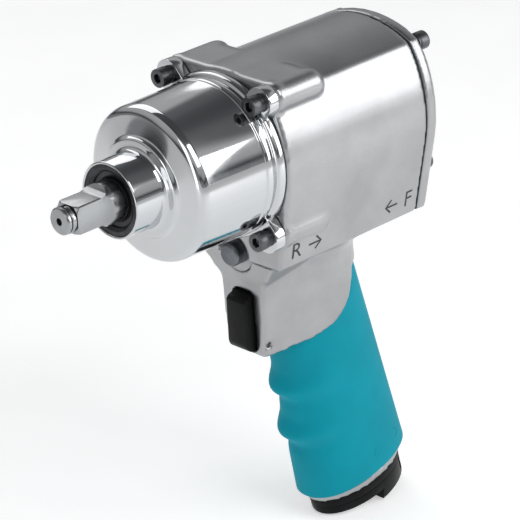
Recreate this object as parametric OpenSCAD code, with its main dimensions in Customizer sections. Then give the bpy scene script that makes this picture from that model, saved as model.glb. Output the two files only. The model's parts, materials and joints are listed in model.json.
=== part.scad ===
// Pneumatic impact wrench with a half inch square drive.
// Frame: the origin is the centre of the drive's front face, +X runs back along the spindle,
// +Z is up and the handle leans back as it goes down. All sizes are in millimetres.

/* [Drive] */
// Width across the flats of the square drive
drive_sq = 12.7; // [12.6:0.05:12.8]
// Radius of the turned tip in front of the square
tip_r = 6.1; // [5.8:0.1:6.2]
// Radius of the anvil's journal and collar
journal_r = 9.5; // [9.2:0.1:9.8]
// Radius of the anvil's stem inside the hammers
stem_r = 9.0; // [8.6:0.1:9.2]

/* [Hammer case] */
// Front face of the nose
nose_x = 28.2; // [28:0.2:29]
// Outer radius of the nose
nose_r = 17.3; // [17:0.1:17.6]
// Start of the full case diameter
case_x = 52.4; // [52:0.2:53]
// Outer radius of the case
case_r = 35.2; // [34.8:0.1:35.6]
// Front face of the case flange at the screw lugs
lug_x = 91.2; // [91:0.1:91.4]
// Joint between the case and the motor housing
joint_x = 96.5; // [96.4:0.1:96.6]

/* [Motor housing] */
// Rear face of the housing casting
seam_x = 185.6; // [185:0.2:187]
// Height of the top above the spindle
top_z = 38.8; // [38.5:0.1:39.2]
// Height of the flat underside
floor_z = -49.5; // [-50:0.1:-49]
// Half of the greatest width
side_y = 37.8; // [37.6:0.1:38]
// Radius of the bulged sides
side_arc_r = 63; // [62:1:65]
// Radius of the crowned top
top_arc_r = 57.5; // [56:0.5:60]
// Lean of the lower sides, in degrees
flank_lean = 11.6; // [11:0.2:12]
// Radius of the motor's bore
motor_r = 28; // [28:0.05:28.1]

/* [Handle] */
// Lean of the handle, in degrees
handle_lean = 13.5; // [13.5:0.1:13.6]
// Where the handle's axis crosses the spindle's height
handle_x = 123.3; // [123:0.1:123.5]
// Half depth of the cast core
core_a = 23; // [22.8:0.1:23.1]
// Half width of the cast core
core_b = 14.5; // [14.4:0.1:14.6]
// Distance along the handle to the top of the grip's tongue
grip_top = 76; // [75:0.5:77]
// Distance along the handle to the bottom of the rubber grip
grip_end = 184.3; // [184:0.1:184.5]

/* [Controls] */
// Width of the trigger button
trigger_w = 11.4; // [11:0.1:11.6]
// Radius of the reversing spool
spool_r = 5.5; // [5.4:0.05:5.55]
// Height of the reversing spool's axis
spool_z = -48.3; // [-48.4:0.1:-48.2]

/* [Hidden] */
$fn = 64;
fit_gap = 0.05;
screw_y = 28;
screw_z = 31.25;
rear_screw_y = 24.8;
rear_screw_top = 28.2;
rear_screw_low = -29.4;
shank_r = 2.5;
boss_r = 6.8;
head_r = 4.25;
head_len = 5;
washer_len = 1.2;
gasket_len = 0.5;
housing_x = joint_x + gasket_len;
cover_x = seam_x + gasket_len;
cover_end = cover_x + 7.5;
seat_end = cover_x + 5.9;
fillet_r = 18;
hood_end = 201.8;
chamber_r = 31;
cage_r = 29.5;
pin_r = 3;
pin_orbit = 24.5;
rotor_r = 21.2;
bore_r = 23.6;
bore_drop = -2;
cyl_x = 106;
cyl_end = 171;
core_end = 188.5;
base_end = 193;
plate_end = 197;
inlet_u = -11;
exhaust_u = 10;
passage_r = 8.5;
inlet_r = 5.72;
pivot_x = 105.7;
pivot_z = -92.8;
throttle_z = -76;
seat_s = 106;
valve_s = 110;
spring_s = 127;
spool_x = 94.6;
boss_x = 105.5;
spool_travel = 7;
port_x = [118, 138, 158];
detent_x = 128;
detent_z = spool_z + spool_r + 0.9;

// ---- helpers ----

module rod_x(x0, x1, r, y = 0, z = 0)
    translate([x0, y, z]) rotate([0, 90, 0]) cylinder(h = x1 - x0, r = r);

module cone_x(x0, x1, r0, r1)
    translate([x0, 0, 0]) rotate([0, 90, 0]) cylinder(h = x1 - x0, r1 = r0, r2 = r1);

module tube_x(x0, x1, outer, inner, y = 0, z = 0)
    difference() {
        rod_x(x0, x1, outer, y, z);
        rod_x(x0 - 1, x1 + 1, inner, y, z);
    }

// A flat shape drawn in Y and Z, given a thickness along X
module slab_x(x0, x1)
    translate([x0, 0, 0]) rotate([90, 0, 90]) linear_extrude(x1 - x0) children();

module at_case_screws()
    for (y = [-screw_y, screw_y], z = [-screw_z, screw_z]) translate([0, y, z]) children();

module at_rear_screws()
    for (y = [-rear_screw_y, rear_screw_y], z = [rear_screw_low, rear_screw_top])
        translate([0, y, z]) children();

// The handle's own frame: X points back across it, and -Z runs down along it
module in_handle() translate([handle_x, 0, 0]) rotate([0, -handle_lean, 0]) children();

// A shape that runs from one distance along the handle to another
module along_handle(s0, s1, u = 0)
    in_handle() translate([u, 0, -s1]) linear_extrude(s1 - s0) children();

module handle_bore(s0, s1, r, u) along_handle(s0, s1, u) circle(r);

function ellipse(a, b, n = 48) = [for (i = [0:n - 1]) [a * cos(360 * i / n), b * sin(360 * i / n)]];

function arc_points(centre, r, a0, a1, n) =
    [for (i = [0:n]) let (a = a0 + (a1 - a0) * i / n) centre + r * [cos(a), sin(a)]];

// The housing's outline seen from the end: a crowned top, bulged sides and leaning flanks
module body_outline(inset = 0) {
    side_c = [side_y - side_arc_r, -2];
    side_r = side_arc_r - inset;
    top_c = [0, top_z - top_arc_r];
    top_r = top_arc_r - inset;
    between = top_c - side_c;
    gap = norm(between);
    corner_a = atan2(between[1], between[0])
        + acos((side_r * side_r + gap * gap - top_r * top_r) / (2 * side_r * gap));
    corner = side_c + side_r * [cos(corner_a), sin(corner_a)] - top_c;
    side = arc_points(side_c, side_r, -flank_lean, corner_a, 12);
    crown = arc_points(top_c, top_r, atan2(corner[1], corner[0]), 90, 8);
    low_z = floor_z + inset;
    low_y = side[0][0] - (side[0][1] - low_z) * tan(flank_lean);
    half = concat([[low_y, low_z]], side, [for (i = [1:8]) crown[i]]);
    polygon(concat(half, [for (i = [len(half) - 2:-1:0]) [-half[i][0], half[i][1]]]));
}

// The round flange with a lug for each case screw
module lug_outline(flange_r, lug_r) {
    circle(flange_r);
    for (a = [atan(screw_z / screw_y), 180 - atan(screw_z / screw_y)], flip = [0, 180])
        rotate(a + flip) {
            translate([0, -lug_r]) square([norm([screw_y, screw_z]), 2 * lug_r]);
            translate([norm([screw_y, screw_z]), 0]) circle(lug_r);
        }
}

module cap_screw(x0, length)
    difference() {
        union() {
            rod_x(x0, x0 + head_len, head_r);
            rod_x(x0 + head_len, x0 + head_len + length, shank_r);
        }
        translate([x0 - 1, 0, 0]) rotate([0, 90, 0]) cylinder(h = 3.6, r = 2.31, $fn = 6);
    }

// A round wire wound into a coil about Z, with flat ends
module coil(coil_r, wire_r, height, turns) {
    steps = 20;
    sides = 8;
    count = turns * steps;
    rings = [for (i = [0:count]) let (a = 360 * i / steps, z = wire_r + (height - 2 * wire_r) * i / count)
        for (k = [0:sides - 1]) let (b = 360 * k / sides, r = coil_r + wire_r * cos(b))
            [r * cos(a), r * sin(a), z + wire_r * sin(b)]];
    walls = [for (i = [0:count - 1], k = [0:sides - 1]) let (n = (k + 1) % sides)
        [i * sides + k, (i + 1) * sides + k, (i + 1) * sides + n, i * sides + n]];
    start = [for (k = [0:sides - 1]) k];
    finish = [for (k = [sides - 1:-1:0]) count * sides + k];
    polyhedron(rings, concat(walls, [start, finish]), convexity = 10);
}

// ---- drive and hammer case ----

module anvil() color("silver") difference() {
    union() {
        cone_x(0, 0.6, tip_r - 0.6, tip_r);
        rod_x(0.6, 1.8, tip_r);
        rod_x(1.7, 5.3, 4.6);
        intersection() {
            translate([4.8, -drive_sq / 2, -drive_sq / 2]) cube([13.6, drive_sq, drive_sq]);
            cone_x(4, 24, 6.4, 26.4);
            rod_x(4, 24, 8.6);
        }
        rod_x(18.2, 56, journal_r);
        rod_x(52.9, 56, 13.2);
        rod_x(55.9, 89.2, stem_r);
        translate([60.8, -4, -12.9]) cube([13.4, 8, 9]);
        translate([75.6, -4, 3.9]) cube([13.4, 8, 9]);
    }
    rod_x(-1, 5, 1.7);
    for (a = [0:90:270]) rotate([a, 0, 0])
        translate([18.2, 0, drive_sq / 2 + 5.4]) rotate([90, 0, 0]) cylinder(h = 20, r = 5.4, center = true);
}

module socket_ring() color("gainsboro") difference() {
    tube_x(2.3, 4.3, 6.3, 5.2);
    translate([2, -0.8, 3]) cube([3, 1.6, 5]);
}

module ring_cushion() color("black") translate([3.3, 0, 0]) rotate([0, 90, 0])
    tube_ring(4.9, 0.28);

module tube_ring(centre_r, wire_r) rotate_extrude() translate([centre_r, 0]) circle(wire_r, $fn = 24);

module hammer_case() color("whitesmoke") difference() {
    union() {
        cone_x(nose_x, nose_x + 0.8, nose_r - 0.6, nose_r);
        rod_x(nose_x + 0.7, 46, nose_r);
        cone_x(44, 47, nose_r, 21.5);
        cone_x(46.5, 50, 22.5, 30.5);
        cone_x(50, case_x, 30.5, case_r - 0.6);
        cone_x(case_x - 0.1, 88, case_r - 0.3, case_r + 0.5);
        rod_x(87.5, lug_x + 0.5, case_r + 1.2);
        rod_x(89, joint_x, case_r + 2.2);
        slab_x(lug_x, joint_x) lug_outline(case_r + 2.2, 6.9);
    }
    rod_x(nose_x - 1, 33, 16);
    rod_x(32, 53, 14);
    cone_x(52, 56.2, 20, chamber_r);
    rod_x(56, joint_x + 1, chamber_r);
    at_case_screws() rod_x(lug_x - 1, joint_x + 1, 2.8);
}

module nose_seal() color("dimgray") difference() {
    rod_x(28.8, 33, 15.95);
    rod_x(28, 31, 12.4);
    rod_x(28, 34, 10);
    cone_x(28.7, 30.2, 14, 12.3);
}

module anvil_bushing() color("darkgoldenrod") tube_x(33, 52, 13.98, journal_r + fit_gap);

module thrust_washer() color("silver") tube_x(52, 52.6, 13.6, journal_r + 0.3);

module case_gasket() color("darkslategray") difference() {
    slab_x(joint_x, housing_x) lug_outline(case_r + 1.6, 6.2);
    rod_x(joint_x - 1, housing_x + 1, chamber_r);
    at_case_screws() rod_x(joint_x - 1, housing_x + 1, 2.8);
}

module case_screws() color("black") at_case_screws() cap_screw(lug_x - washer_len - head_len, 22);

module case_spring_washers() color("dimgray") at_case_screws() difference() {
    tube_x(lug_x - washer_len, lug_x, 4, 2.6);
    translate([lug_x - 2, -0.4, 2]) cube([3, 0.8, 3]);
}

// ---- twin hammer mechanism ----

module hammer_cage() color("slategray") difference() {
    union() {
        tube_x(56.8, 60, cage_r, 13.9);
        rod_x(89.8, 95, cage_r);
        intersection() {
            tube_x(59.9, 89.9, cage_r, 26.7);
            translate([59, -40, -15]) cube([32, 80, 30]);
        }
    }
    for (z = [-pin_orbit, pin_orbit]) rod_x(56, 96, pin_r + 0.02, 0, z);
    rod_x(88, 96, 5.25);
    spline_teeth(88, 96, fit_gap);
}

module spline_teeth(x0, x1, gap = 0)
    for (a = [0:45:135]) rotate([a, 0, 0])
        translate([x0, -6.3 - gap, -1 - gap]) cube([x1 - x0, 12.6 + 2 * gap, 2 + 2 * gap]);

// One rocking ring: it swings on the pin at +Z and has room around the pin at -Z
module hammer_ring(x0, x1) difference() {
    rod_x(x0, x1, 23.8);
    difference() {
        rod_x(x0 - 1, x1 + 1, 14.7);
        for (y = [-20, 11.7]) translate([x0 - 2, y, -5]) cube([x1 - x0 + 4, 8.3, 10]);
    }
    rod_x(x0 - 1, x1 + 1, pin_r + fit_gap, 0, pin_orbit);
    translate([x0 - 1, -7.8, -26]) cube([x1 - x0 + 2, 15.6, 5]);
}

module front_hammer() color("gray") hammer_ring(60.4, 74.6);

module rear_hammer() color("gray") rotate([180, 0, 0]) hammer_ring(75.2, 89.4);

module hammer_pins() color("silver") for (z = [-pin_orbit, pin_orbit]) rod_x(57, 94.8, pin_r, 0, z);

// ---- motor housing ----

module motor_housing() color("lightgray") difference() {
    union() {
        slab_x(housing_x, seam_x) body_outline();
        slab_x(housing_x, housing_x + 4) lug_outline(case_r + 2.4, 7.2);
        at_case_screws() {
            rod_x(housing_x, 121.5, boss_r);
            translate([121.5, 0, 0]) sphere(boss_r);
        }
        rod_x(boss_x, seam_x, 9, 0, spool_z);
        front_shoulder();
        top_shoulder();
        neck_flare();
        neck();
        along_handle(80, core_end - 2) polygon(ellipse(core_a, core_b));
        along_handle(grip_end, core_end) polygon(ellipse(28.4, 17.2));
    }
    rod_x(housing_x - 1, seam_x + 1, motor_r + fit_gap);
    at_case_screws() rod_x(housing_x - 1, 118, shank_r + fit_gap);
    at_rear_screws() rod_x(170, seam_x + 1, shank_r + fit_gap);
    rod_x(90, boss_x, 9.3, 0, spool_z);
    rod_x(100, seam_x + 1, 7.5, 0, spool_z);
    trigger_slot();
    air_ways();
}

// The casting narrows from the body's underside to the cheeks beside the trigger
module front_shoulder() hull() {
    translate([housing_x + 0.5, -30, -42]) cube([24, 60, 2], $fn = 32);
    translate([102, -13, -64]) cube([24, 26, 2]);
}

// Round column from the body to the grip, with a full front for the trigger's cheeks
module neck() intersection() {
    hull() {
        translate([137, 0, -47]) linear_extrude(2) polygon(ellipse(28.5, 21, 32));
        translate([102, -13, -66]) cube([12, 26, 18]);
        translate([102.6, -11.5, -98.5]) cube([10, 23, 3]);
        along_handle(104, 106) polygon(ellipse(22.5, 17.7, 32));
    }
    neck_side();
}

// The neck flares into the body's underside
module neck_flare() for (i = [0:fillet_r - 1])
    let (out = fillet_r - sqrt(fillet_r * fillet_r - i * i))
        translate([137 + out / 2, 0, -50 - fillet_r + i]) linear_extrude(1.02)
            polygon(ellipse(27.9 + out / 2, 18.8 + out * 0.7, 32));

// A raised shoulder joins the two upper screw bosses
module top_shoulder() translate([0, 27.2, 0]) rotate([90, 0, 0]) linear_extrude(54.4) polygon(concat(
    [[housing_x, 10], [housing_x, 37.85]], arc_points([119, 28.85], 9, 90, 0, 9), [[131, 24], [131, 10]]));

// Side view of the bare casting: straight under the trigger, then up in front of the grip's tongue
module neck_side() translate([0, 40, 0]) rotate([90, 0, 0]) linear_extrude(80) polygon(concat(
    [[90, -40], [90, -99], [106, -98.4], [130, -97.2]],
    [for (a = [80:-10:10]) [129 + 27 * sin(90 - a), -69.5 - 27 * cos(90 - a)]],
    [[156, -70.5], [180, -67], [180, -40]]));

module trigger_slot() {
    translate([98, -6.2, -97.6]) cube([16.5, 12.4, 30]);
    translate([pivot_x, 20, pivot_z]) rotate([90, 0, 0]) cylinder(h = 40, r = 1.5);
    rod_x(112, 126, 4, 0, throttle_z);
}

// Inlet air rises to the throttle valve, the spool and the motor; exhaust falls behind it
module air_ways() {
    handle_bore(seat_s, core_end + 1, passage_r, inlet_u);
    handle_bore(53, seat_s + 1, 6, inlet_u);
    handle_bore(174, core_end + 1, 10.5, inlet_u);
    handle_bore(55, core_end + 1, 8, exhaust_u);
    for (x = port_x) translate([x, 0, spool_z]) cylinder(h = 25, r = 3);
    translate([detent_x, 0, spool_z]) cylinder(h = 25, r = 2.1);
}

// ---- motor ----

module front_end_plate() color("silver") difference() {
    rod_x(98, cyl_x, motor_r);
    rod_x(97, 104.8, 14);
    rod_x(104, 107, 8);
    dowel_hole();
}

module dowel_hole() rod_x(97, 180, 1.5, 0, 24.8);

// Outer race and balls of a deep groove ball bearing
module ball_bearing(x0, x1, outer, inner, balls) {
    mid_r = (outer + inner) / 2;
    ball_r = (outer - inner) * 0.22;
    difference() {
        tube_x(x0, x1, outer, mid_r + ball_r * 0.7);
        translate([(x0 + x1) / 2, 0, 0]) rotate([0, 90, 0]) tube_ring(mid_r, ball_r + 0.02);
    }
    for (i = [0:balls - 1]) rotate([360 * i / balls, 0, 0])
        translate([(x0 + x1) / 2, 0, mid_r]) sphere(ball_r, $fn = 32);
}

// Inner race that turns with the shaft
module inner_race(x0, x1, outer, inner) {
    mid_r = (outer + inner) / 2;
    ball_r = (outer - inner) * 0.22;
    difference() {
        tube_x(x0, x1, mid_r - ball_r * 0.7, inner);
        translate([(x0 + x1) / 2, 0, 0]) rotate([0, 90, 0]) tube_ring(mid_r, ball_r + 0.05);
    }
}

module front_bearing() color("silver") ball_bearing(96.8, 104.8, 14, 6, 8);

module front_bearing_race() color("gainsboro") inner_race(96.8, 104.8, 14, 6);

module rear_bearing() color("silver") ball_bearing(172.2, 180.2, 13, 5, 8);

module rear_bearing_race() color("gainsboro") inner_race(172.2, 180.2, 13, 5);

module air_cylinder() color("darkgray") difference() {
    rod_x(cyl_x, cyl_end, motor_r);
    rod_x(cyl_x - 1, cyl_end + 1, bore_r, 0, bore_drop);
    dowel_hole();
    for (x = port_x) translate([x, 0, -30]) cylinder(h = 12, r = 2.6);
}

module cylinder_dowel() color("silver") rod_x(98.5, 178, 1.48, 0, 24.8);

module rotor() color("gray") {
    difference() {
        rod_x(106.4, 170.6, rotor_r);
        vane_slots(107, 0.1, 10);
    }
    rod_x(95.5, 107, 6);
    rod_x(90.2, 96, 5.2);
    spline_teeth(90.2, 95.4);
    rod_x(170, 180.8, 5);
}

module vane_slots(x0, gap, floor_r)
    for (a = [30:60:330]) rotate([a, 0, 0])
        translate([106.4 - gap, -1.5 - gap / 2, floor_r]) cube([64.2 + 2 * gap, 3 + gap, 12]);

module rotor_vanes() color("saddlebrown") intersection() {
    vane_slots(107, -0.1, 10.5);
    rod_x(106, 171, rotor_r - 0.05);
}

module rear_end_plate() color("silver") difference() {
    rod_x(cyl_end, 179, motor_r);
    rod_x(172.2, 180, 13);
    rod_x(170, 173, 7);
    dowel_hole();
}

// ---- rear cover ----

module rear_gasket() color("darkslategray") difference() {
    slab_x(seam_x, cover_x) body_outline(0.5);
    rod_x(seam_x - 1, cover_x + 1, motor_r);
    at_rear_screws() rod_x(seam_x - 1, cover_x + 1, 2.8);
    rod_x(seam_x - 1, cover_x + 1, 7.5, 0, spool_z);
}

module rear_cover() color("lightgray") difference() {
    union() {
        slab_x(cover_x, cover_end - 2.4) body_outline();
        slab_x(cover_end - 2.5, cover_end - 0.8) body_outline(0.9);
        slab_x(cover_end - 0.9, cover_end) body_outline(2.2);
        rod_x(cover_x, cover_x + 4.9, 9, 0, spool_z);
        tube_x(179, cover_x + 1, motor_r - fit_gap, 24);
    }
    rod_x(cover_x - 1, 190.5, 22);
    at_rear_screws() rod_x(cover_x - 1, cover_end + 1, 2.8);
    at_rear_screws() rod_x(seat_end, cover_end + 1, 5.6);
    rod_x(cover_x - 1, cover_end + 1, spool_r + 0.3, 0, spool_z);
}

module rear_screws() color("black") at_rear_screws() mirror([1, 0, 0])
    cap_screw(-seat_end - washer_len - head_len, 18);

module rear_spring_washers() color("dimgray") at_rear_screws() difference() {
    tube_x(seat_end, seat_end + washer_len, 4, 2.6);
    translate([seat_end - 1, -0.4, 2]) cube([3, 0.8, 3]);
}

// ---- reversing valve ----

module reverse_bushing() color("darkgoldenrod") difference() {
    union() {
        tube_x(100.7, boss_x, 9.2, spool_r + fit_gap, 0, spool_z);
        tube_x(boss_x - 1, 184, 7.5, spool_r + fit_gap, 0, spool_z);
    }
    for (x = port_x) translate([x, 0, spool_z]) cylinder(h = 10, r = 2.6);
    translate([detent_x, 0, spool_z]) cylinder(h = 10, r = 2.1);
    translate([127, 0, spool_z - 10]) cylinder(h = 10, r = 3);
    translate([148, 0, spool_z - 10]) cylinder(h = 10, r = 2.6);
}

module reverse_spool() color("silver") difference() {
    rod_x(spool_x + 8, 190.5, spool_r, 0, spool_z);
    for (x = [[112, 122], [130, 144], [156, 168]]) tube_x(x[0], x[1], spool_r + 1, 3.4, 0, spool_z);
    for (x = [107.5, 180]) tube_x(x, x + 1.6, spool_r + 1, 4.4, 0, spool_z);
    rod_x(detent_x - spool_travel, detent_x, 2, 0, detent_z);
    for (x = [detent_x - spool_travel, detent_x]) translate([x, 0, detent_z]) sphere(2, $fn = 32);
}

module reverse_front_button() color("dimgray") {
    rod_x(spool_x + 1, spool_x + 8, spool_r, 0, spool_z);
    translate([0, 0, spool_z]) cone_x(spool_x, spool_x + 1, spool_r - 0.9, spool_r);
}

module reverse_rear_button() color("dimgray") {
    rod_x(190.5, 194, spool_r, 0, spool_z);
    translate([0, 0, spool_z]) cone_x(194, 195, spool_r, spool_r - 0.8);
}

module spool_seals() color("black") for (x = [108.3, 180.8])
    translate([x, 0, spool_z]) rotate([0, 90, 0]) tube_ring(4.9, 0.5);

module detent_ball() color("silver") translate([detent_x, 0, detent_z]) sphere(1.9, $fn = 32);

module detent_spring() color("silver") translate([detent_x, 0, detent_z + 1.9])
    coil(1.4, 0.25, -motor_r - detent_z - 1.9, 8);

// ---- trigger and throttle ----

// Side view of the button, with a rounded toe below the finger's face
module trigger_profile() polygon(concat(
    [for (a = [0:15:90]) [102.3 - 5 * cos(a), -91.4 - 5 * sin(a)]],
    [[108.2, -96.4], [109.6, -95], [109.6, -69.6], [108.6, -68.2], [104, -68.2], [98.4, -70.2],
        [97.3, -71.6]]));

module trigger() color("black") difference() {
    translate([0, trigger_w / 2, 0]) rotate([90, 0, 0]) linear_extrude(trigger_w) trigger_profile();
    translate([pivot_x, 20, pivot_z]) rotate([90, 0, 0]) cylinder(h = 40, r = 1.55);
}

module trigger_pin() color("silver") translate([pivot_x, 11, pivot_z]) rotate([90, 0, 0])
    cylinder(h = 22, r = 1.49);

module throttle_pin() color("silver") rod_x(109.9, 127.5, 1.9, 0, throttle_z);

module throttle_bushing() color("darkgoldenrod") tube_x(114.6, 122.4, 3.98, 1.95, 0, throttle_z);

module valve_seat() color("darkgoldenrod") in_handle() translate([inlet_u, 0, -valve_s])
    difference() {
        cylinder(h = 3.9, r = passage_r - 0.02);
        translate([0, 0, -1]) cylinder(h = 6, r = 5.2);
    }

// Tipping valve: pushing its stem back lifts the disc off the seat
module throttle_valve() color("silver") {
    handle_bore(valve_s, valve_s + 2, 7, inlet_u);
    handle_bore(73.5, valve_s + 0.1, 1.8, inlet_u);
}

module throttle_spring() color("silver") in_handle() translate([inlet_u, 0, -spring_s])
    coil(5, 0.6, spring_s - valve_s - 2, 5);

// ---- handle ----

// Swell of the grip's front edge: two finger ridges, as a height over the plain front
function ridge(s, at) = 4.2 * exp(-pow((s - at) / 5.2, 2));
function grip_front(s) = 24.4 + (s - grip_top) * 0.065 + ridge(s, 122) + ridge(s, 146.5);
function grip_rear(s) = 25.5 + (s - grip_top) * 0.05;

module grip() color("darkcyan") difference() {
    stations = [for (i = [0:22]) grip_top + (grip_end - grip_top) * i / 22];
    sides = 36;
    points = [for (s = stations, k = [0:sides - 1]) let (a = 360 * k / sides,
        depth = cos(a) < 0 ? grip_front(s) : grip_rear(s),
        width = 17.2 + (s - grip_top) * 0.011)
            [depth * cos(a), width * sin(a), -s]];
    walls = [for (i = [0:len(stations) - 2], k = [0:sides - 1]) let (n = (k + 1) % sides)
        [i * sides + k, i * sides + n, (i + 1) * sides + n, (i + 1) * sides + k]];
    top = [for (k = [sides - 1:-1:0]) k];
    bottom = [for (k = [0:sides - 1]) (len(stations) - 1) * sides + k];
    in_handle() polyhedron(points, concat(walls, [top, bottom]), convexity = 6);
    along_handle(grip_top - 1, grip_end + 1) polygon(ellipse(core_a, core_b));
    neck_side();
}

// Threaded inlet with a long sleeve that carries the throttle spring on its screen
module inlet_bushing() color("silver") in_handle() translate([inlet_u, 0, -plate_end])
    difference() {
        union() {
            cylinder(h = plate_end - 178, r = 10.45);
            cylinder(h = 2, r = 12);
            cylinder(h = plate_end - spring_s - 1.2, r = 8.4);
        }
        translate([0, 0, -1]) cylinder(h = 15, r = inlet_r);
        cylinder(h = 30, r = 4.6);
        translate([0, 0, 20]) cylinder(h = 60, r = 6.4);
        translate([0, 0, 10.5]) tube_ring(10, 0.7);
    }

module inlet_screen() color("silver") in_handle() translate([inlet_u, 0, -spring_s - 1.2])
    difference() {
        cylinder(h = 1.2, r = 8.4);
        for (i = [-3:3], j = [-3:3]) if (norm([i, j]) < 3.2)
            translate([i * 1.9, j * 1.9, -1]) cylinder(h = 4, r = 0.65, $fn = 16);
    }

module inlet_seal() color("black") in_handle() translate([inlet_u, 0, -plate_end + 10.5])
    tube_ring(9.95, 0.5);

module exhaust_silencer() color("gray") handle_bore(164, 184, 7.95, exhaust_u);

module base_gasket() color("black") difference() {
    along_handle(core_end, base_end) polygon(ellipse(26.6, 16.4));
    handle_bore(180, 200, 10.5, inlet_u);
    handle_bore(180, 200, 8, exhaust_u);
}

// The plate that closes the base, with a hood that throws the exhaust back and down
module exhaust_deflector() color("black") difference() {
    union() {
        along_handle(base_end, plate_end) polygon(ellipse(26.4, 16.4));
        intersection() {
            along_handle(plate_end - 1, hood_end) polygon(ellipse(26.4, 16.4));
            in_handle() translate([2, -30, -198]) rotate([0, 22, 0]) translate([0, 0, -8]) cube([40, 60, 30]);
        }
    }
    handle_bore(180, 210, 10.5, inlet_u);
    handle_bore(plate_end - 2, 210, 12.05, inlet_u);
    in_handle() translate([3.2, -11, 1.8 - hood_end]) cube([18.5, 22, 8]);
    for (y = [-7.5, 0, 7.5]) in_handle() translate([18, y - 2.2, 2.2 - hood_end]) cube([12, 4.4, 3]);
}

anvil();
socket_ring();
ring_cushion();
hammer_case();
nose_seal();
anvil_bushing();
thrust_washer();
case_gasket();
case_screws();
case_spring_washers();
hammer_cage();
front_hammer();
rear_hammer();
hammer_pins();
motor_housing();
front_end_plate();
front_bearing();
front_bearing_race();
air_cylinder();
cylinder_dowel();
rotor();
rotor_vanes();
rear_end_plate();
rear_bearing();
rear_bearing_race();
rear_gasket();
rear_cover();
rear_screws();
rear_spring_washers();
reverse_bushing();
reverse_spool();
reverse_front_button();
reverse_rear_button();
spool_seals();
detent_ball();
detent_spring();
trigger();
trigger_pin();
throttle_pin();
throttle_bushing();
valve_seat();
throttle_valve();
throttle_spring();
grip();
inlet_bushing();
inlet_screen();
inlet_seal();
exhaust_silencer();
base_gasket();
exhaust_deflector();
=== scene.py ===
import bpy
import json
import math
from mathutils import Matrix, Vector


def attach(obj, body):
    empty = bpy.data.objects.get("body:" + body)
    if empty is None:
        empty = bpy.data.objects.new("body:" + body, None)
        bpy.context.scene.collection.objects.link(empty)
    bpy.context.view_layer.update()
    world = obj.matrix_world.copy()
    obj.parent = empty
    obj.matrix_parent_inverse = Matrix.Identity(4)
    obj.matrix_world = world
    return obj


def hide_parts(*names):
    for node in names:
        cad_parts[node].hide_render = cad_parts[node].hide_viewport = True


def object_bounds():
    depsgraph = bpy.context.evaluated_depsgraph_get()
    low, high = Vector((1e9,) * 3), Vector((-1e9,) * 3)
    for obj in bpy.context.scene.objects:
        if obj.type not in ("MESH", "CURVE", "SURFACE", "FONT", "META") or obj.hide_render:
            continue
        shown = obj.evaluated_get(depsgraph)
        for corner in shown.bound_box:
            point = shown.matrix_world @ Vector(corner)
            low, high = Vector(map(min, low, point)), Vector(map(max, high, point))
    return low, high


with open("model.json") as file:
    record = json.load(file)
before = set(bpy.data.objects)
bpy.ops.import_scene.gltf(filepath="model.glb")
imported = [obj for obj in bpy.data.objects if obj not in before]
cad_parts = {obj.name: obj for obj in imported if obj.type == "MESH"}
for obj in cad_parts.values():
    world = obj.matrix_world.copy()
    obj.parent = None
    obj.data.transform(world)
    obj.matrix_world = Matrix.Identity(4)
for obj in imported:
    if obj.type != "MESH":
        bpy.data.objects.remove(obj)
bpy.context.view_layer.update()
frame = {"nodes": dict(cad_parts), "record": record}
mm = 0.001
print("frame loaded")


def clearSelection():
    if bpy.context.mode != "OBJECT":
        bpy.ops.object.mode_set(mode="OBJECT")
    bpy.ops.object.select_all(action="DESELECT")


def pick(piece):
    clearSelection()
    piece.select_set(True)
    bpy.context.view_layer.objects.active = piece


def editAll(piece):
    pick(piece)
    bpy.ops.object.mode_set(mode="EDIT")
    bpy.ops.mesh.select_all(action="SELECT")


def backToObject():
    bpy.ops.object.mode_set(mode="OBJECT")


def applyModifier(piece, kind, **settings):
    pick(piece)
    modifier = piece.modifiers.new(kind.title(), kind)
    for name, value in settings.items():
        setattr(modifier, name, value)
    bpy.ops.object.modifier_apply(modifier=modifier.name)


def smoothBy(piece, degrees=32):
    pick(piece)
    bpy.ops.object.shade_smooth_by_angle(angle=math.radians(degrees))


def bevelEdges(piece, width, segments=3, angle=32):
    applyModifier(piece, "BEVEL", width=width, segments=segments, limit_method="ANGLE",
                  angle_limit=math.radians(angle), harden_normals=False)
    smoothBy(piece)


def copyOfNode(node, name):
    source = frame["nodes"][node]
    piece = bpy.data.objects.new(name, source.data.copy())
    bpy.context.scene.collection.objects.link(piece)
    piece.data.materials.clear()
    editAll(piece)
    bpy.ops.mesh.customdata_custom_splitnormals_clear()
    bpy.ops.mesh.remove_doubles(threshold=0.000002)
    bpy.ops.mesh.dissolve_limited(angle_limit=math.radians(0.6))
    backToObject()
    return piece


def finishPiece(piece, material, body, slot, *nodes):
    piece.data.materials.clear()
    piece.data.materials.append(material)
    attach(piece, body)
    if nodes:
        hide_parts(*nodes)
    return piece


def joinPieces(name, pieces):
    pick(pieces[0])
    for piece in pieces[1:]:
        piece.select_set(True)
    bpy.ops.object.join()
    pieces[0].name = name
    return pieces[0]


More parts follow.
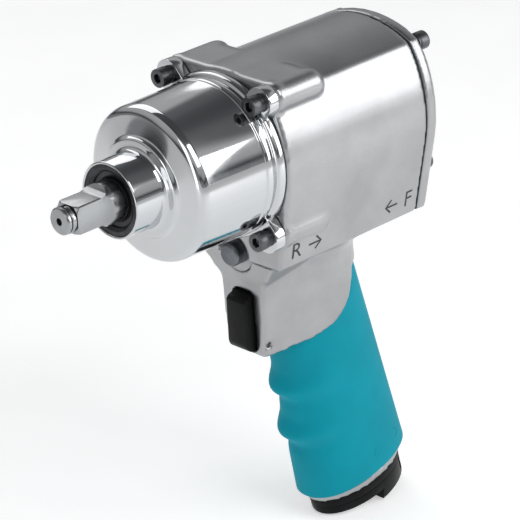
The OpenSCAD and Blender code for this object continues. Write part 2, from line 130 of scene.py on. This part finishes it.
# A turned part: a ring is extruded from one (x, radius) to the next along the spindle, in mm
def turnedShape(name, outline, sides=96, closed=True):
    clearSelection()
    x0, r0 = outline[0]
    bpy.ops.mesh.primitive_circle_add(vertices=sides, radius=r0 * mm, location=(x0 * mm, 0, 0),
                                      rotation=(0, math.pi / 2, 0))
    piece = bpy.context.active_object
    piece.name = name
    bpy.ops.object.transform_apply(location=True, rotation=True, scale=True)
    editAll(piece)
    stops = outline[1:] + ([outline[0]] if closed else [])
    x, r = x0, r0
    for nextX, nextR in stops:
        bpy.ops.mesh.extrude_region_move(TRANSFORM_OT_translate={"value": ((nextX - x) * mm, 0, 0)})
        k = nextR / r
        bpy.ops.transform.resize(value=(1, k, k), center_override=(nextX * mm, 0, 0))
        x, r = nextX, nextR
    bpy.ops.mesh.select_all(action="SELECT")
    bpy.ops.mesh.remove_doubles(threshold=0.000002)
    bpy.ops.mesh.normals_make_consistent(inside=False)
    backToObject()
    return piece


def linear(hexColor):
    channels = [int(hexColor[i:i + 2], 16) / 255 for i in (1, 3, 5)]
    return [c / 12.92 if c <= 0.04045 else ((c + 0.055) / 1.055) ** 2.4 for c in channels] + [1]


def addNode(tree, kind, settings, links=()):
    node = tree.nodes.new(kind)
    for name, value in settings.items():
        if isinstance(name, str) and hasattr(node, name):
            setattr(node, name, value)
        else:
            node.inputs[name].default_value = value
    for socket, source in links:
        tree.links.new(source, node.inputs[socket])
    return node


def newMaterial(name):
    material = bpy.data.materials.new(name)
    material.use_nodes = True
    tree = material.node_tree
    tree.nodes.clear()
    shader = addNode(tree, "ShaderNodeBsdfPrincipled", {})
    addNode(tree, "ShaderNodeOutputMaterial", {}, [("Surface", shader.outputs["BSDF"])])
    place = addNode(tree, "ShaderNodeTexCoord", {}).outputs["Object"]
    return material, tree, shader, place


# Two tones mixed by broad noise, and a fine grain that varies the roughness and gives a slight bump
def surface(name, tones, metallic, roughness, grainMm, bumpMm, blotchMm, spread, stretch=(1, 1, 1)):
    material, tree, shader, place = newMaterial(name)
    mapping = addNode(tree, "ShaderNodeMapping", {"Scale": stretch}, [("Vector", place)])
    blotch = addNode(tree, "ShaderNodeTexNoise", {"Scale": 1 / (blotchMm * mm), "Detail": 5.0},
                     [("Vector", mapping.outputs["Vector"])])
    tone = addNode(tree, "ShaderNodeValToRGB", {}, [("Fac", blotch.outputs["Fac"])])
    tone.color_ramp.elements[0].position = 0.35
    tone.color_ramp.elements[1].position = 0.65
    tone.color_ramp.elements[0].color = linear(tones[0])
    tone.color_ramp.elements[1].color = linear(tones[1])
    tree.links.new(tone.outputs["Color"], shader.inputs["Base Color"])
    grain = addNode(tree, "ShaderNodeTexNoise", {"Scale": 1 / (grainMm * mm), "Detail": 3.0},
                    [("Vector", mapping.outputs["Vector"])])
    polish = addNode(tree, "ShaderNodeMapRange", {"To Min": max(0.02, roughness - spread),
                                                  "To Max": roughness + spread, "From Min": 0.3,
                                                  "From Max": 0.7}, [("Value", grain.outputs["Fac"])])
    tree.links.new(polish.outputs["Result"], shader.inputs["Roughness"])
    bump = addNode(tree, "ShaderNodeBump", {"Strength": 1.0, "Distance": bumpMm * mm},
                   [("Height", grain.outputs["Fac"])])
    tree.links.new(bump.outputs["Normal"], shader.inputs["Normal"])
    shader.inputs["Metallic"].default_value = metallic
    return material


# Polished steel: bright, with faint turning marks from the lathe around the spindle
def turnedPolishedSteel():
    material, tree, shader, place = newMaterial("polishedSteel")
    shader.inputs["Metallic"].default_value = 1
    shader.inputs["Base Color"].default_value = linear("#C6C8CA")
    parts = addNode(tree, "ShaderNodeSeparateXYZ", {}, [("Vector", place)])
    rings = addNode(tree, "ShaderNodeTexNoise", {"noise_dimensions": "1D", "Scale": 1 / (0.35 * mm),
                                                 "Detail": 4.0}, [("W", parts.outputs["X"])])
    smear = addNode(tree, "ShaderNodeTexNoise", {"Scale": 1 / (14 * mm), "Detail": 4.0},
                    [("Vector", place)])
    blend = addNode(tree, "ShaderNodeMath", {"operation": "MULTIPLY"},
                    [(0, rings.outputs["Fac"]), (1, smear.outputs["Fac"])])
    polish = addNode(tree, "ShaderNodeMapRange", {"From Min": 0.1, "From Max": 0.5, "To Min": 0.05,
                                                  "To Max": 0.12}, [("Value", blend.outputs[0])])
    tree.links.new(polish.outputs["Result"], shader.inputs["Roughness"])
    bump = addNode(tree, "ShaderNodeBump", {"Strength": 0.3, "Distance": 0.003 * mm},
                   [("Height", rings.outputs["Fac"])])
    tree.links.new(bump.outputs["Normal"], shader.inputs["Normal"])
    return material


materials = {
    "polished_case": turnedPolishedSteel(),
    # bead-blasted cast aluminium: pale grey with a silky grain near 0.5 mm
    "satin_casting": surface("blastedAluminium", ("#A0A1A3", "#ACADAF"), 1, 0.31, 0.5, 0.006, 25, 0.04),
    # moulded thermoplastic rubber: saturated teal with a fine mould grain
    "teal_rubber": surface("tealRubber", ("#008A9C", "#0092A5"), 0, 0.62, 0.45, 0.02, 30, 0.05),
    # black oxide on hardened steel: dark grey with soft highlights
    "black_screw": surface("blackOxideSteel", ("#57585B", "#67686B"), 1, 0.36, 0.4, 0.01, 5, 0.08),
    # glass-filled nylon, moulded: nearly black with a slight sheen
    "black_plastic": surface("blackNylon", ("#0C0C0D", "#131415"), 0, 0.36, 0.5, 0.015, 12, 0.08),
    # ground steel: clean grey, its grain drawn out along the spindle
    "bright_steel": surface("groundSteel", ("#97999B", "#A6A8AA"), 1, 0.22, 0.3, 0.002, 9, 0.05,
                            (0.3, 1, 1)),
    # hardened steel as it leaves the furnace and grinder: darker, a little uneven
    "dark_steel": surface("hardenedSteel", ("#5C5F63", "#74777B"), 1, 0.36, 0.4, 0.01, 9, 0.08),
    # sintered bronze: brown gold with open pores
    "bronze": surface("sinteredBronze", ("#94703A", "#B08845"), 1, 0.4, 0.3, 0.02, 5, 0.08),
    # nitrile rubber, moulded: black and matte
    "black_rubber": surface("nitrileRubber", ("#0B0B0C", "#121213"), 0, 0.5, 0.3, 0.01, 6, 0.08),
    # pressed fibre sheet: dark green grey, dry and rough
    "gasket": surface("gasketFibre", ("#1F2B2A", "#31403E"), 0, 0.8, 0.3, 0.02, 3, 0.08),
    # honed cast iron: mid grey with a fine crosshatch lost to grain
    "machined_iron": surface("honedIron", ("#75787C", "#8B8E92"), 1, 0.34, 0.4, 0.01, 8, 0.06),
    # cloth-filled phenolic resin: brown, streaked across the vane
    "vane_resin": surface("phenolicResin", ("#66401F", "#835A35"), 0, 0.45, 0.4, 0.01, 3, 0.06,
                          (1, 0.2, 1)),
    # drawn spring wire: bright grey with fine draw marks
    "spring_steel": surface("springWire", ("#7F8286", "#9A9DA1"), 1, 0.3, 0.3, 0.006, 4, 0.06),
    # sintered felt: pale grey, very rough
    "silencer": surface("sinteredFelt", ("#7C7E80", "#9A9C9E"), 0, 0.9, 0.4, 0.1, 3, 0.05),
    # phosphated steel: charcoal and dull
    "nose_black": surface("phosphatedSteel", ("#3C3D40", "#4A4B4E"), 1, 0.38, 0.35, 0.01, 5, 0.08),
}
# moulded rubber and nylon mirror less than bare Principled defaults
for slot in ("teal_rubber", "black_plastic", "black_rubber"):
    materials[slot].node_tree.nodes["Principled BSDF"].inputs["Specular IOR Level"].default_value = 0.12
for entry in frame["record"]["subparts"]:
    mesh = frame["nodes"][entry["node"]].data
    mesh.materials.clear()
    mesh.materials.append(materials[entry["material_slot"]])
print("materials made")


hammerCase = {
    "outline": [(33, 16), (28.6, 16), (28.2, 16.4), (28.2, 16.9), (28.7, 17.3), (42.6, 17.3), (43.9, 17.7),
                (44.7, 18.7), (45.0, 20.2), (45.2, 21.6), (45.7, 22.3), (46.4, 22.6), (47.2, 23.4),
                (48.9, 31.2), (49.4, 32.9), (50.4, 34.3), (51.9, 35.1), (53.6, 35.3), (86.4, 35.6),
                (86.8, 36.2), (89.6, 36.4), (90.1, 36.1), (90.4, 35.2), (91.4, 35.0), (91.8, 36.6),
                (92.3, 37.3), (93.1, 37.6), (95.6, 37.6), (96.3, 37.2), (96.5, 36.6), (96.5, 31),
                (56.2, 31), (53, 20), (52, 14), (33, 14)],
    "lugX": (91.2, 96.5), "lugRadius": 6.9, "lugReach": 9, "screwY": 28.0, "screwZ": 31.25,
    "rimBevel": 0.4, "lugBevel": 0.7,
}


def makeCaseLug(side, up):
    centre = Vector((0, side * hammerCase["screwY"], up * hammerCase["screwZ"])) * mm
    x0, x1 = hammerCase["lugX"]
    clearSelection()
    bpy.ops.mesh.primitive_cylinder_add(vertices=48, radius=hammerCase["lugRadius"] * mm,
                                        depth=(x1 - x0) * mm, rotation=(0, math.pi / 2, 0),
                                        location=((x0 + x1) / 2 * mm, centre.y, centre.z))
    lug = bpy.context.active_object
    bpy.ops.object.transform_apply(location=True, rotation=True, scale=True)
    editAll(lug)
    bpy.ops.mesh.select_all(action="DESELECT")
    bpy.ops.object.mode_set(mode="OBJECT")
    inward = -centre.normalized()
    for face in lug.data.polygons:
        face.select = abs(face.normal.x) < 0.5 and face.normal.dot(inward) > 0.05
    bpy.ops.object.mode_set(mode="EDIT")
    bpy.ops.mesh.extrude_region_move(TRANSFORM_OT_translate={"value": inward * hammerCase["lugReach"] * mm})
    backToObject()
    bevelEdges(lug, hammerCase["lugBevel"] * mm, 3)
    return lug


caseBody = turnedShape("hammerCase", hammerCase["outline"], 128)
bevelEdges(caseBody, hammerCase["rimBevel"] * mm, 2, 24)
caseLugs = [makeCaseLug(side, up) for side in (-1, 1) for up in (-1, 1)]
caseBody = joinPieces("hammerCase", [caseBody] + caseLugs)
finishPiece(caseBody, materials["polished_case"], "housing", "polished_case", "hammer_case")
print("hammer case made")


motorHousing = {"voxelMm": 1.1, "smoothing": 5}
rearCover = {"voxelMm": 0.7, "smoothing": 12}


# A casting: the node's mesh is remeshed evenly, then smoothed until its edges are rounded
def makeCasting(node, name, settings):
    casting = copyOfNode(node, name)
    applyModifier(casting, "REMESH", mode="VOXEL", voxel_size=settings["voxelMm"] * mm,
                  use_smooth_shade=True)
    applyModifier(casting, "SMOOTH", factor=0.5, iterations=settings["smoothing"])
    return finishPiece(casting, materials["satin_casting"], "housing", "satin_casting", node)


housing = makeCasting("motor_housing", "motorHousing", motorHousing)
makeCasting("rear_cover", "rearCover", rearCover)
print("castings made")


edgeWidths = {  # node: (piece name, bevel in mm, body)
    "anvil": ("anvil", 0.35, "drive"),
    "socket_ring": ("socketRing", 0.12, "drive"),
    "nose_seal": ("noseSeal", 0.2, "housing"),
    "case_screws": ("caseScrews", 0.35, "housing"),
    "case_spring_washers": ("caseSpringWashers", 0.12, "housing"),
    "rear_screws": ("rearScrews", 0.35, "housing"),
    "rear_spring_washers": ("rearSpringWashers", 0.12, "housing"),
    "reverse_front_button": ("reverseFrontButton", 0.45, "reverser"),
    "reverse_rear_button": ("reverseRearButton", 0.4, "reverser"),
    "trigger": ("trigger", 0.7, "trigger"),
    "exhaust_deflector": ("exhaustDeflector", 1.2, "housing"),
    "base_gasket": ("baseGasket", 0.5, "housing"),
    "inlet_bushing": ("inletBushing", 0.25, "housing"),
}
slotOf = {entry["node"]: entry["material_slot"] for entry in frame["record"]["subparts"]}
for node, (name, width, body) in edgeWidths.items():
    piece = copyOfNode(node, name)
    bevelEdges(piece, width * mm, 3)
    finishPiece(piece, materials[slotOf[node]], body, slotOf[node], node)
print("edges rounded")


handle = {"x": 123.3, "lean": math.radians(13.5)}
toHandle = Matrix.Translation((handle["x"] * mm, 0, 0)) @ Matrix.Rotation(-handle["lean"], 4, "Y")
grip = {"topEdge": [(-40, 90.4), (-32, 92), (-21, 94.1), (-13, 94.8), (-3, 91.4), (8, 88.6), (11, 86.6),
                    (13.5, 83.5), (15.4, 77.6), (17, 76.3), (40, 76.2)],
        "ridges": [(122, 4.4, 4.8), (131, -1.2, 3.5), (146.5, 4.6, 4.8), (156, -1.4, 3.5)],
        "bottom": 184.3, "sides": 128, "rings": 84, "lipMm": 1.2, "wallMm": 2.2, "roundness": 2.25}


def gripRadius(s, angle):
    front = 25.4 + (s - 92) * 0.065 + sum(h * math.exp(-((s - at) / w) ** 2) for at, h, w in grip["ridges"])
    rear = 26.2 + (s - 92) * 0.05
    width = 17.35 + (s - 92) * 0.011
    c, w = math.cos(angle), math.sin(angle)
    depth = front if c < 0 else rear
    power = 2 / grip["roundness"]
    return (depth * math.copysign(abs(c) ** power, c), width * math.copysign(abs(w) ** power, w))


# The moulding's top edge: highest on the tongue behind the neck
def gripTop(u):
    stops = grip["topEdge"]
    for (u0, s0), (u1, s1) in zip(stops, stops[1:]):
        if u0 <= u <= u1:
            return s0 + (s1 - s0) * (u - u0) / (u1 - u0)
    return stops[0][1]


def makeGrip():
    clearSelection()
    bpy.ops.mesh.primitive_cylinder_add(vertices=grip["sides"], radius=1, depth=1, end_fill_type="NOTHING")
    piece = bpy.context.active_object
    editAll(piece)
    for i in range(1, grip["rings"]):
        bpy.ops.mesh.select_all(action="SELECT")
        height = 0.5 - i / grip["rings"]
        bpy.ops.mesh.bisect(plane_co=(0, 0, height), plane_no=(0, 0, 1))
    backToObject()
    for vertex in piece.data.vertices:
        angle = math.atan2(vertex.co.y, vertex.co.x)
        share = 0.5 - vertex.co.z
        top = gripTop(gripRadius(92, angle)[0])
        s = top + (grip["bottom"] - top) * share
        u, w = gripRadius(s, angle)
        edge = min(share, 1 - share) * (grip["bottom"] - top)
        inset = grip["lipMm"] * max(0.0, 1 - edge / grip["lipMm"]) ** 2
        shrink = 1 - inset / 26
        vertex.co = toHandle @ Vector((u * shrink * mm, w * shrink * mm, -s * mm))
    editAll(piece)
    bpy.ops.mesh.normals_make_consistent(inside=False)
    backToObject()
    applyModifier(piece, "SOLIDIFY", thickness=grip["wallMm"] * mm, offset=-1)
    smoothBy(piece, 50)
    piece.name = "grip"
    return piece


gripPiece = finishPiece(makeGrip(), materials["teal_rubber"], "housing", "teal_rubber", "grip")
print("grip made")

# A black rubber ring set inside the nose seal's bore: painted shade that darkens the gap and hides the
# bronze bushing behind it
boreShadeRing = {"outline": [(30.7, 9.75), (31.0, 9.68), (31.6, 9.68), (31.9, 10.2), (31.3, 10.4), (30.7, 10.2)]}
shadeRing = turnedShape("boreShadeRing", boreShadeRing["outline"], 96)
smoothBy(shadeRing, 40)
finishPiece(shadeRing, materials["black_rubber"], "housing", "black_rubber")

directionMarks = {"size": 11.07, "lift": 0.05,
                  "labels": [("R \u2192", 103.2, -45.0), ("\u2190 F", 162.0, -44.2)]}


# Each vertex moves sideways onto the surface, then out again by its own lift
def layOn(piece, surfacePiece, side):
    depth = 0.08
    for vertex in piece.data.vertices:
        lift = side * vertex.co.y
        start = Vector((vertex.co.x, side * depth, vertex.co.z))
        hit, place, normal, index = surfacePiece.ray_cast(start, Vector((0, -side, 0)), distance=depth)
        if hit:
            vertex.co = place + normal * lift


def makeMark(label, x, z, side):
    clearSelection()
    bpy.ops.object.text_add(location=(0, 0, 0))
    word = bpy.context.active_object
    word.data.body = label
    word.data.size = directionMarks["size"] * mm
    word.data.resolution_u = 3
    bpy.ops.object.convert(target="MESH")
    word = bpy.context.active_object
    turn = Matrix.Rotation(math.pi / 2, 4, "X")
    if side > 0:
        turn = Matrix.Rotation(math.pi, 4, "Z") @ turn
    width = max(v.co.x for v in word.data.vertices)
    start = x * mm if side < 0 else x * mm + width
    place = Matrix.Translation((start, side * directionMarks["lift"] * mm, z * mm)) @ turn
    for vertex in word.data.vertices:
        vertex.co = place @ vertex.co
    return word


# On the far side the words run the other way, so the arrows change ends and still point the same way
def farLabel(label):
    return label[::-1].translate({0x2190: 0x2192, 0x2192: 0x2190})


for side in (-1, 1):
    for label, x, z in directionMarks["labels"]:
        mark = makeMark(label if side < 0 else farLabel(label), x, z, side)
        editAll(mark)
        bpy.ops.mesh.remove_doubles(threshold=0.000002)
        backToObject()
        layOn(mark, housing, side)
        mark.name = "mark" + label.strip("\u2192\u2190 ") + ("Near" if side < 0 else "Far")
        finishPiece(mark, materials["nose_black"], "housing", "nose_black")
print("direction marks made")


gripOval = {"centre": (10, 174), "half": (9.5, 2.2), "width": 0.7, "lift": 0.22}


def makeGripOval(side):
    clearSelection()
    bpy.ops.mesh.primitive_torus_add(major_segments=96, minor_segments=8, major_radius=1, minor_radius=0.1)
    oval = bpy.context.active_object
    halfU, halfS = gripOval["half"]
    for vertex in oval.data.vertices:
        angle = math.atan2(vertex.co.y, vertex.co.x)
        out = (math.hypot(vertex.co.x, vertex.co.y) - 1) / 0.1
        across = halfS + out * gripOval["width"] / 2
        u = math.copysign(halfU - halfS, math.cos(angle)) + across * math.cos(angle)
        s = across * math.sin(angle)
        lift = vertex.co.z / 0.1 * gripOval["lift"]
        spot = toHandle @ Vector(((gripOval["centre"][0] + u) * mm, 0, -(gripOval["centre"][1] + s) * mm))
        vertex.co = Vector((spot.x, side * lift * mm, spot.z))
    layOn(oval, gripPiece, side)
    oval.name = "gripOval"
    return oval


finishPiece(makeGripOval(-1), materials["teal_rubber"], "housing", "teal_rubber")
print("grip outline made")


studio = {
    "skyStrength": 0.55, "floorSize": 12, "floorGap": 0.0005, "floorGlow": 0.4,
    "skyBands": [(0.08, "#55575A"), (0.13, "#8E9093"), (0.24, "#E9EAEB"), (0.62, "#FFFFFF"),
                 (0.7, "#96989A"), (0.82, "#77797C")],
    "camera": {"target": (0.08277, -0.0325, -0.03715), "azimuth": -43.88, "elevation": 24.03,
               "roll": -3.047, "distance": 1.3, "lens": 209.7},
}


def makeFloor():
    low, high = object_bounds()
    clearSelection()
    bpy.ops.mesh.primitive_plane_add(size=studio["floorSize"],
                                     location=(0, 0, low[2] - studio["floorGap"]))
    floor = bpy.context.active_object
    floor.name = "floor"
    paper = surface("paleFloor", ("#F4F4F4", "#F8F8F8"), 0, 0.7, 2, 0.001, 60, 0.05)
    paper.node_tree.nodes["Principled BSDF"].inputs["Emission Color"].default_value = linear("#FFFFFF")
    paper.node_tree.nodes["Principled BSDF"].inputs["Emission Strength"].default_value = studio["floorGlow"]
    floor.data.materials.append(paper)


def addSoftbox(name, place, aim, size, power, sizeY=None):
    light = bpy.data.lights.new(name, "AREA")
    light.shape = "RECTANGLE"
    light.size = size
    light.size_y = sizeY or size
    light.energy = power
    lamp = bpy.data.objects.new(name, light)
    bpy.context.scene.collection.objects.link(lamp)
    lamp.location = place
    lamp.rotation_euler = (Vector(aim) - Vector(place)).to_track_quat("-Z", "Y").to_euler()


def makeCamera():
    settings = studio["camera"]
    a, e = math.radians(settings["azimuth"]), math.radians(settings["elevation"])
    back = Vector((math.sin(a) * math.cos(e), -math.cos(a) * math.cos(e), math.sin(e)))
    data = bpy.data.cameras.new("camera")
    data.lens = settings["lens"]
    data.sensor_width = 36
    data.clip_end = 50
    camera = bpy.data.objects.new("camera", data)
    bpy.context.scene.collection.objects.link(camera)
    turn = (-back).to_track_quat("-Z", "Y").to_matrix().to_4x4() @ Matrix.Rotation(
        math.radians(settings["roll"]), 4, "Z")
    camera.matrix_world = Matrix.Translation(Vector(settings["target"]) + back * settings["distance"]) @ turn
    bpy.context.scene.camera = camera


makeFloor()
addSoftbox("keyLight", (0.1, -1.0, 0.85), (0.08, 0, -0.05), 0.7, 5.5)
addSoftbox("fillLight", (0.8, -0.7, 0.25), (0.1, 0, -0.1), 0.6, 3.5)
addSoftbox("rimLight", (0.3, 0.8, 0.8), (0.08, 0, -0.05), 0.8, 3)
addSoftbox("frontStrip", (-0.9, -0.15, 0.1), (0.05, 0, -0.03), 0.25, 1.5, 0.9)
world = bpy.data.worlds.new("studio")
world.use_nodes = True
skyTree = world.node_tree
sky = addNode(skyTree, "ShaderNodeTexCoord", {}).outputs["Generated"]
height = addNode(skyTree, "ShaderNodeSeparateXYZ", {}, [("Vector", sky)])
cloud = addNode(skyTree, "ShaderNodeTexNoise", {"Scale": 1.6, "Detail": 1.0}, [("Vector", sky)])
wobble = addNode(skyTree, "ShaderNodeMath", {"operation": "MULTIPLY_ADD", 1: 0.5, 2: -0.25},
                 [(0, cloud.outputs["Fac"])])
level = addNode(skyTree, "ShaderNodeMath", {"operation": "ADD"},
                [(0, height.outputs["Z"]), (1, wobble.outputs[0])])
bands = addNode(skyTree, "ShaderNodeValToRGB", {}, [("Fac", level.outputs[0])])
bands.color_ramp.elements[0].position = 0.0
bands.color_ramp.elements[0].color = linear("#B9BBBD")
bands.color_ramp.elements[1].position = 1.0
bands.color_ramp.elements[1].color = linear("#5C5E61")
for stop, tone in studio["skyBands"]:
    bands.color_ramp.elements.new(stop).color = linear(tone)
skyTree.links.new(bands.outputs["Color"], skyTree.nodes["Background"].inputs["Color"])
skyTree.nodes["Background"].inputs["Strength"].default_value = studio["skyStrength"]
bpy.context.scene.world = world
bpy.context.scene.view_settings.view_transform = "Standard"
makeCamera()
print("studio made")
